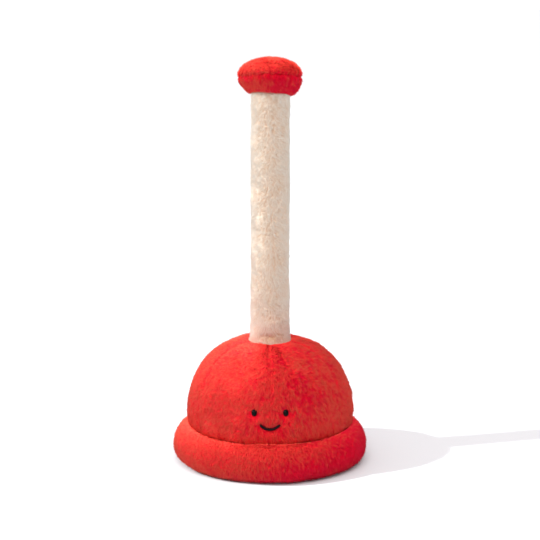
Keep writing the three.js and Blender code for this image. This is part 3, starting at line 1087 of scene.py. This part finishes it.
black_bead = shader("black_bead", 0.3, specular=0.06)
finished_with(
    black_bead, grain, Low=(0.002, 0.002, 0.002), High=(0.005, 0.004, 0.004),
    Scale=900, Smoothest=0.25, Roughest=0.4, Relief=0.02 * mm,
)
BEAD_HEIGHT = 3.2 * mm
BEAD_EDGE = 0.9 * mm
BEAD_FULLNESS = 1.1
for side, (low, high) in eye_boxes.items():
    half = (high.x - low.x) / 2 * BEAD_FULLNESS
    taller = (high.z - low.z) / (high.x - low.x)
    dome_of_bead = [
        (half * cos(radians(t)), (BEAD_HEIGHT - BEAD_EDGE) * sin(radians(t)) + BEAD_EDGE)
        for t in range(0, 91, 10)
    ]
    dome_of_bead[-1] = (0, BEAD_HEIGHT)
    shank = [(0, -6 * mm), (0.8 * mm, -6 * mm), (1.0 * mm, -5.4 * mm), (1.0 * mm, -0.4 * mm)]
    bead = spun(f"eye_bead_{side}", [*shank, (half * 0.9, -0.2 * mm), *dome_of_bead], 32)
    spot, normal = on_dome((low.x + high.x) / 2, (low.z + high.z) / 2)
    turn = normal.to_track_quat("Z", "Y").to_matrix().to_4x4()
    bead.data.transform(Matrix.Translation(spot) @ turn @ Matrix.Diagonal((1, taller, 1, 1)))
    bead.data.shade_smooth()
    bead.data.materials.append(black_bead)
    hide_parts(f"eye_{side}")
    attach(bead, "body")

# ---- Smile ----
# One line of black thread, two plies twisted together, couched onto the plush. Both ends dive through
# to the back of the cloth.
STEPS = 56


def threaded(name, strands, radius, material, resolution=1):
    """Round threads along lists of points, their ends closed, as one mesh."""
    curve = bpy.data.curves.new(name, "CURVE")
    curve.dimensions = "3D"
    curve.bevel_depth = radius
    curve.bevel_resolution = resolution
    curve.use_fill_caps = True
    for points in strands:
        spline = curve.splines.new("POLY")
        spline.points.add(len(points) - 1)
        for spot, point in zip(spline.points, points):
            spot.co = (*point, 1)
    drawn = bpy.data.objects.new(name, curve)
    scene.collection.objects.link(drawn)
    mesh = bpy.data.meshes.new_from_object(drawn.evaluated_get(bpy.context.evaluated_depsgraph_get()))
    bpy.data.objects.remove(drawn)
    made = bpy.data.objects.new(name, mesh)
    scene.collection.objects.link(made)
    mesh.name = name
    mesh.shade_smooth()
    mesh.materials.clear()
    mesh.materials.append(material)
    return made


def thread_material(name, dark, light):
    """Spun thread: fine fuzz over a tone that varies along it."""
    material = shader(name, 0.6, specular=0.06)
    finished_with(
        material, grain, Low=dark, High=light, Scale=1500, Smoothest=0.5, Roughest=0.75, Relief=0.1 * mm
    )
    return material


black_thread = thread_material("black_thread", (0.002, 0.001, 0.002), (0.008, 0.005, 0.006))


def smile_ply(start):
    points = []
    for i in range(STEPS + 1):
        t = 2 * i / STEPS - 1
        x = smile_half * t
        spot, normal = on_dome(x, smile_z(x))
        along = Vector((1, 0, 2 * smile_drop * x / smile_half**2)).normalized()
        beside = normal.cross(along).normalized()
        dive = eased(0.9, 1, abs(t)) * 2.6 * mm
        twist = start + tau * i / STEPS * 5.5
        lift = 1.9 * mm - dive + 0.42 * mm * sin(twist)
        points.append(spot + normal * lift + beside * 0.42 * mm * cos(twist))
    return points


smile = threaded("smile_thread", [smile_ply(0), smile_ply(pi)], 0.84 * mm, black_thread, 2)
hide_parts("smile_stitching")
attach(smile, "body")

# ---- Closing stitches ----
# The filling goes in through the back seam, which is then closed by hand with a red ladder stitch. Its
# rungs cross the seam and pull the two gores together.
red_thread = thread_material("red_thread", (0.42, 0.001, 0.006), (0.62, 0.004, 0.012))
RUNG = 3.6 * mm
rungs = []
count = round((closing_high.z - closing_low.z) / RUNG)
for i in range(count):
    z = closing_low.z + (closing_high.z - closing_low.z) * (i + 0.5) / count
    rung = []
    for t in (-1, -0.8, -0.4, 0, 0.4, 0.8, 1):
        spot, normal = on_dome(1.7 * mm * t, z + 0.5 * mm * t, 1)
        rung.append(spot + normal * (0.7 * mm - 1.5 * mm * eased(0.7, 1, abs(t))))
    rungs.append(rung)
closing = threaded("closing_rungs", rungs, 0.34 * mm, red_thread)
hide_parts("closing_stitches")
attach(closing, "body")

# ---- Root and neck stitches ----
# The handle is whip-stitched to the dome at its foot and to the knob at its neck, in cream thread, with
# the pile laid over the stitches.
cream_thread = thread_material("cream_thread", (0.6, 0.45, 0.33), (0.8, 0.66, 0.52))
handle_skin = skin_of(handle)


def whipped(inner_z, outer_radius, outer_z, count):
    """Slanted loops from the handle's skin at inner_z out to a ring on the other cover."""
    loops = []
    for i in range(count):
        turn = tau * i / count
        lean = tau / count * 0.45
        inside = Vector((cos(turn - lean), sin(turn - lean), 0))
        outside = Vector((cos(turn + lean), sin(turn + lean), 0))
        spot, _, _, _ = handle_skin.ray_cast(inside * 0.06 + Vector((0, 0, inner_z)), -inside)
        start = spot + inside * 0.1 * mm
        end = outside * outer_radius + Vector((0, 0, outer_z))
        if outer_z > handle_middle:
            end.z += askew(end)
            start.z += askew(end)
        middle = (start + end) / 2 + (inside + outside).normalized() * 0.7 * mm
        rise, fall = start.lerp(middle, 0.4), end.lerp(middle, 0.4)
        loops.append([start - inside * 0.8 * mm, rise, middle, fall, end])
    return loops


root_ring = threaded(
    "root_whip", whipped(dome_top + 2.2 * mm, handle_radius + 4.2 * mm, dome_top - 0.9 * mm, 44), 0.3 * mm,
    cream_thread,
)
neck_ring = threaded(
    "neck_whip", whipped(knob_foot - 1.6 * mm, knob_hem - 0.6 * mm, knob_foot + 0.4 * mm, 40), 0.3 * mm,
    cream_thread,
)
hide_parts("root_stitching")
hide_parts("neck_stitching")
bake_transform(root_ring)
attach(neck_ring, "handle")

# ---- Inside ----
# A bag of plastic pellets keeps the toy upright. A foam rod stiffens the handle, and a wad of fibre
# fills the bend at its root. The washers hold the eyes.
# packed cells: tone and bump from the distance to each cell's middle
cell_values = {"Middle": (1, 1, 1, 1), "Edge": (0, 0, 0, 1), "Scale": 500.0, "Relief": 0.0}
cells, given, out = shader_group("cells", cell_values, ("Base Color", "Normal"))
from_middle = textured(cells, "ShaderNodeTexVoronoi", given["Scale"]).outputs["Distance"]
cells.links.new(
    blended(cells, ranged(cells, from_middle, 0.3, 0.7), given["Middle"], given["Edge"]), out["Base Color"]
)
cells.links.new(raised(cells, from_middle, given["Relief"], 1), out["Normal"])

# foam: the cells' darker middles are painted shade in its pores
foam = shader("cream_foam", 0.9, specular=0.2)
finished_with(foam, cells, Middle=(0.62, 0.6, 0.55), Edge=(0.86, 0.84, 0.78), Scale=700, Relief=0.4 * mm)
# pellets: the darker cell edges are painted shade in the gaps between pellets
pellets = shader("pellets", 0.4, specular=0.5)
finished_with(pellets, cells, Middle=(0.75, 0.77, 0.8), Edge=(0.5, 0.52, 0.56), Scale=350, Relief=-1.2 * mm)

pouch_cloth = shader("pouch_cloth", 0.85, 0.1)
cloth_tree = pouch_cloth.node_tree
weave = textured(cloth_tree, "ShaderNodeTexWave", 300)
weave.inputs["Distortion"].default_value = 1.5
over_and_under = ranged(cloth_tree, weave.outputs["Fac"], 0.3, 0.7)
# the weave is darker where its bump sinks: painted shade on the threads that pass under
pouch_tone = blended(cloth_tree, over_and_under, (0.55, 0.53, 0.48, 1), (0.76, 0.74, 0.68, 1))
pouch_shader = cloth_tree.nodes["Principled BSDF"]
cloth_tree.links.new(pouch_tone, pouch_shader.inputs["Base Color"])
cloth_tree.links.new(raised(cloth_tree, weave.outputs["Fac"], 0.3 * mm, 1), pouch_shader.inputs["Normal"])

washer_plastic = shader("washer_plastic", 0.45, specular=0.5)
finished_with(
    washer_plastic, grain, Low=(0.68, 0.69, 0.7), High=(0.78, 0.79, 0.8),
    Scale=500, Smoothest=0.35, Roughest=0.55, Relief=0.05 * mm,
)
fibre = shader("white_fibre", 0.95, 0.3, specular=0.1)
finished_with(
    fibre, grain, Low=(0.66, 0.66, 0.65), High=(0.9, 0.9, 0.88),
    Scale=260, Smoothest=0.85, Roughest=1, Relief=1.5 * mm,
)
for node, finish in {
    "handle_rod": foam,
    "pouch_bottom": pouch_cloth,
    "pouch_top": pouch_cloth,
    "pouch_pellets": pellets,
    "eye_washer_left": washer_plastic,
    "eye_washer_right": washer_plastic,
    "root_wad": fibre,
}.items():
    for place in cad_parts[node].material_slots:
        place.material = finish
